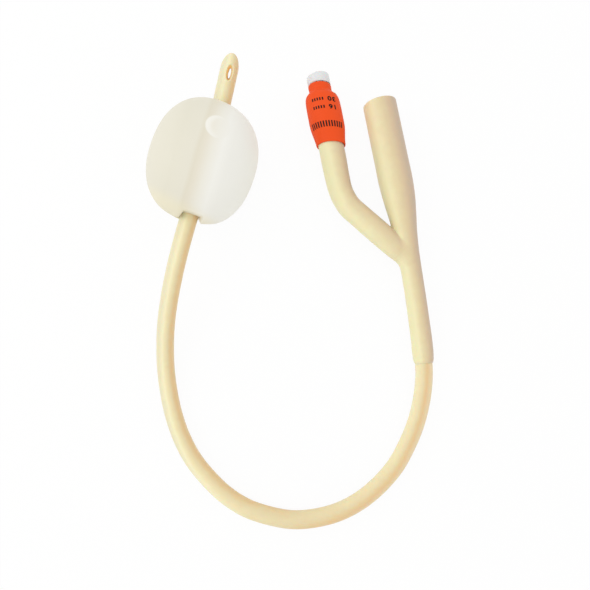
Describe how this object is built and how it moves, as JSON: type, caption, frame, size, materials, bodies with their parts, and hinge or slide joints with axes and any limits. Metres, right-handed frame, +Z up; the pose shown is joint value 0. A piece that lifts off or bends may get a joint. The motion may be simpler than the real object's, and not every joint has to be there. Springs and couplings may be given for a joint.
{
  "type": "foley urinary catheter",
  "caption": "Two-way balloon catheter lying flat with its retention balloon filled, a drainage funnel and a side arm with a spring check valve.",
  "frame": {"origin": "on the table under the middle of the part's bounding box", "axes": "+Z up from the table; +Y along the drainage funnel and out of its mouth; +X to the funnel's side"},
  "size_m": [0.1053, 0.1684, 0.037],
  "materials": {
    "tube_latex": "cream latex with a smooth coating",
    "balloon_latex": "thin milky stretched latex",
    "orange_band": "orange elastic band, satin",
    "white_plastic": "white moulded plastic",
    "seal_rubber": "grey rubber",
    "spring_steel": "bright steel wire"
  },
  "bodies": {
    "catheter": {"catheter_shaft": "tube_latex", "drainage_tip": "tube_latex", "retention_balloon": "balloon_latex", "y_connector": "tube_latex", "valve_sleeve": "orange_band", "valve_body": "white_plastic", "valve_spring": "spring_steel", "valve_retainer": "white_plastic"},
    "plunger": {"valve_plunger": "white_plastic", "valve_seal": "seal_rubber"}
  },
  "joints": [
    {"name": "valve_push", "type": "slide", "parent": "catheter", "child": "plunger", "axis": [0, -1, 0], "range_m": [0, 0.0015], "stiffness_N_per_m": 300, "springref_m": -0.001, "deforming": ["valve_spring"]}
  ]
}
